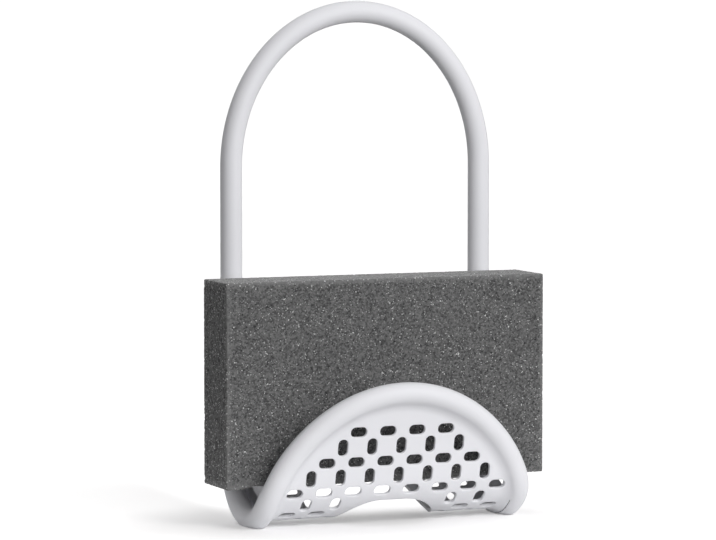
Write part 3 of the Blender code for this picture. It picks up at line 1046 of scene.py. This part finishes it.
class CADDY_OT_stage(bpy.types.Operator):
    """Set the floor, the lamps, the white surroundings and the camera"""

    bl_idname = "caddy.stage"
    bl_label = "Stage"

    def execute(self, context):
        scene = context.scene
        mesh = bpy.data.meshes.new("floor")
        corners = ((-1, -1), (1, -1), (1, 1), (-1, 1))
        points = [(x * FLOOR_REACH, y * FLOOR_REACH, -FLOOR_DROP) for x, y in corners]
        mesh.from_pydata(points, [], [(0, 1, 2, 3)])
        mesh.materials.append(stage_material())
        floor = bpy.data.objects.new("floor", mesh)
        scene.collection.objects.link(floor)
        for name, strength, azimuth, elevation, spread in (
            ("front_softbox", 0.58, 10.0, 14.0, 60.0),
            ("side_softbox", 0.10, 80.0, 20.0, 60.0),
            ("top_softbox", 0.06, 0.0, 89.0, 90.0),
            ("back_softbox", 0.20, 180.0, 35.0, 60.0),
        ):
            soft_sun(name, strength, azimuth, elevation, spread)
        # It stands nearer to the handle than to the cradle, and so it lights the handle more
        soft_box("key_softbox", 0.66, (0.15, -0.42, 0.32), target=(0.0, 0.02, 0.14), size=0.22)
        world = bpy.data.worlds.new("white_studio")
        scene.world = world
        world.use_nodes = True
        tree = world.node_tree
        tree.nodes.clear()
        path = add_node(tree, "ShaderNodeLightPath")
        seen = add_node(
            tree,
            "ShaderNodeMath",
            {0: path.outputs["Is Camera Ray"], 1: path.outputs["Is Transmission Ray"]},
            operation="MAXIMUM",
        )
        # White where the camera sees it, and weaker where it lights the caddy
        strength = add_node(
            tree, "ShaderNodeMapRange", change(seen.outputs["Value"], 0.0, 1.0, 0.29, 1.0)
        )
        sky = add_node(
            tree, "ShaderNodeBackground", {"Color": WHITE, "Strength": strength.outputs["Result"]}
        )
        add_node(tree, "ShaderNodeOutputWorld", {"Surface": sky.outputs["Background"]})
        scene.view_settings.view_transform = "Standard"
        camera_data = bpy.data.cameras.new("photo_camera")
        camera_data.sensor_width = CAMERA_SENSOR
        camera_data.lens = CAMERA_LENS
        camera_data.clip_start, camera_data.clip_end = 0.05, 100.0
        camera = bpy.data.objects.new("photo_camera", camera_data)
        camera.location = CAMERA_PLACE
        level = math.cos(CAMERA_PITCH)
        forward = (math.sin(CAMERA_YAW) * level, math.cos(CAMERA_YAW) * level, -math.sin(CAMERA_PITCH))
        camera.rotation_euler = Vector(forward).to_track_quat("-Z", "Y").to_euler()
        scene.collection.objects.link(camera)
        scene.camera = camera
        return {"FINISHED"}


class CADDY_PT_panel(bpy.types.Panel):
    """Sidebar panel with the caddy's sizes, colours and pieces"""

    bl_idname = "CADDY_PT_panel"
    bl_label = "Sink caddy"
    bl_space_type = "VIEW_3D"
    bl_region_type = "UI"
    bl_category = "Caddy"

    def draw(self, context):
        for operator in OPERATORS:
            self.layout.operator(operator.bl_idname)
        for group in (context.scene.caddy_sizes, context.scene.caddy_finish):
            for name in group.__annotations__:
                self.layout.prop(group, name)


OPERATORS = (
    CADDY_OT_rim_and_handle,
    CADDY_OT_armature,
    CADDY_OT_web,
    CADDY_OT_back_rail,
    CADDY_OT_sponge,
    CADDY_OT_stage,
)
CLASSES = (CaddySizes, CaddyFinish, *OPERATORS, CADDY_PT_panel)


def register():
    for cls in CLASSES:
        bpy.utils.register_class(cls)
    bpy.types.Scene.caddy_sizes = bpy.props.PointerProperty(type=CaddySizes)
    bpy.types.Scene.caddy_finish = bpy.props.PointerProperty(type=CaddyFinish)


def unregister():
    del bpy.types.Scene.caddy_finish
    del bpy.types.Scene.caddy_sizes
    for cls in reversed(CLASSES):
        bpy.utils.unregister_class(cls)


def main():
    register()
    bpy.ops.caddy.rim_and_handle()
    bpy.ops.caddy.armature()
    bpy.ops.caddy.web()
    bpy.ops.caddy.back_rail()
    bpy.ops.caddy.sponge()
    bpy.ops.caddy.stage()


if __name__ == "__main__":
    main()
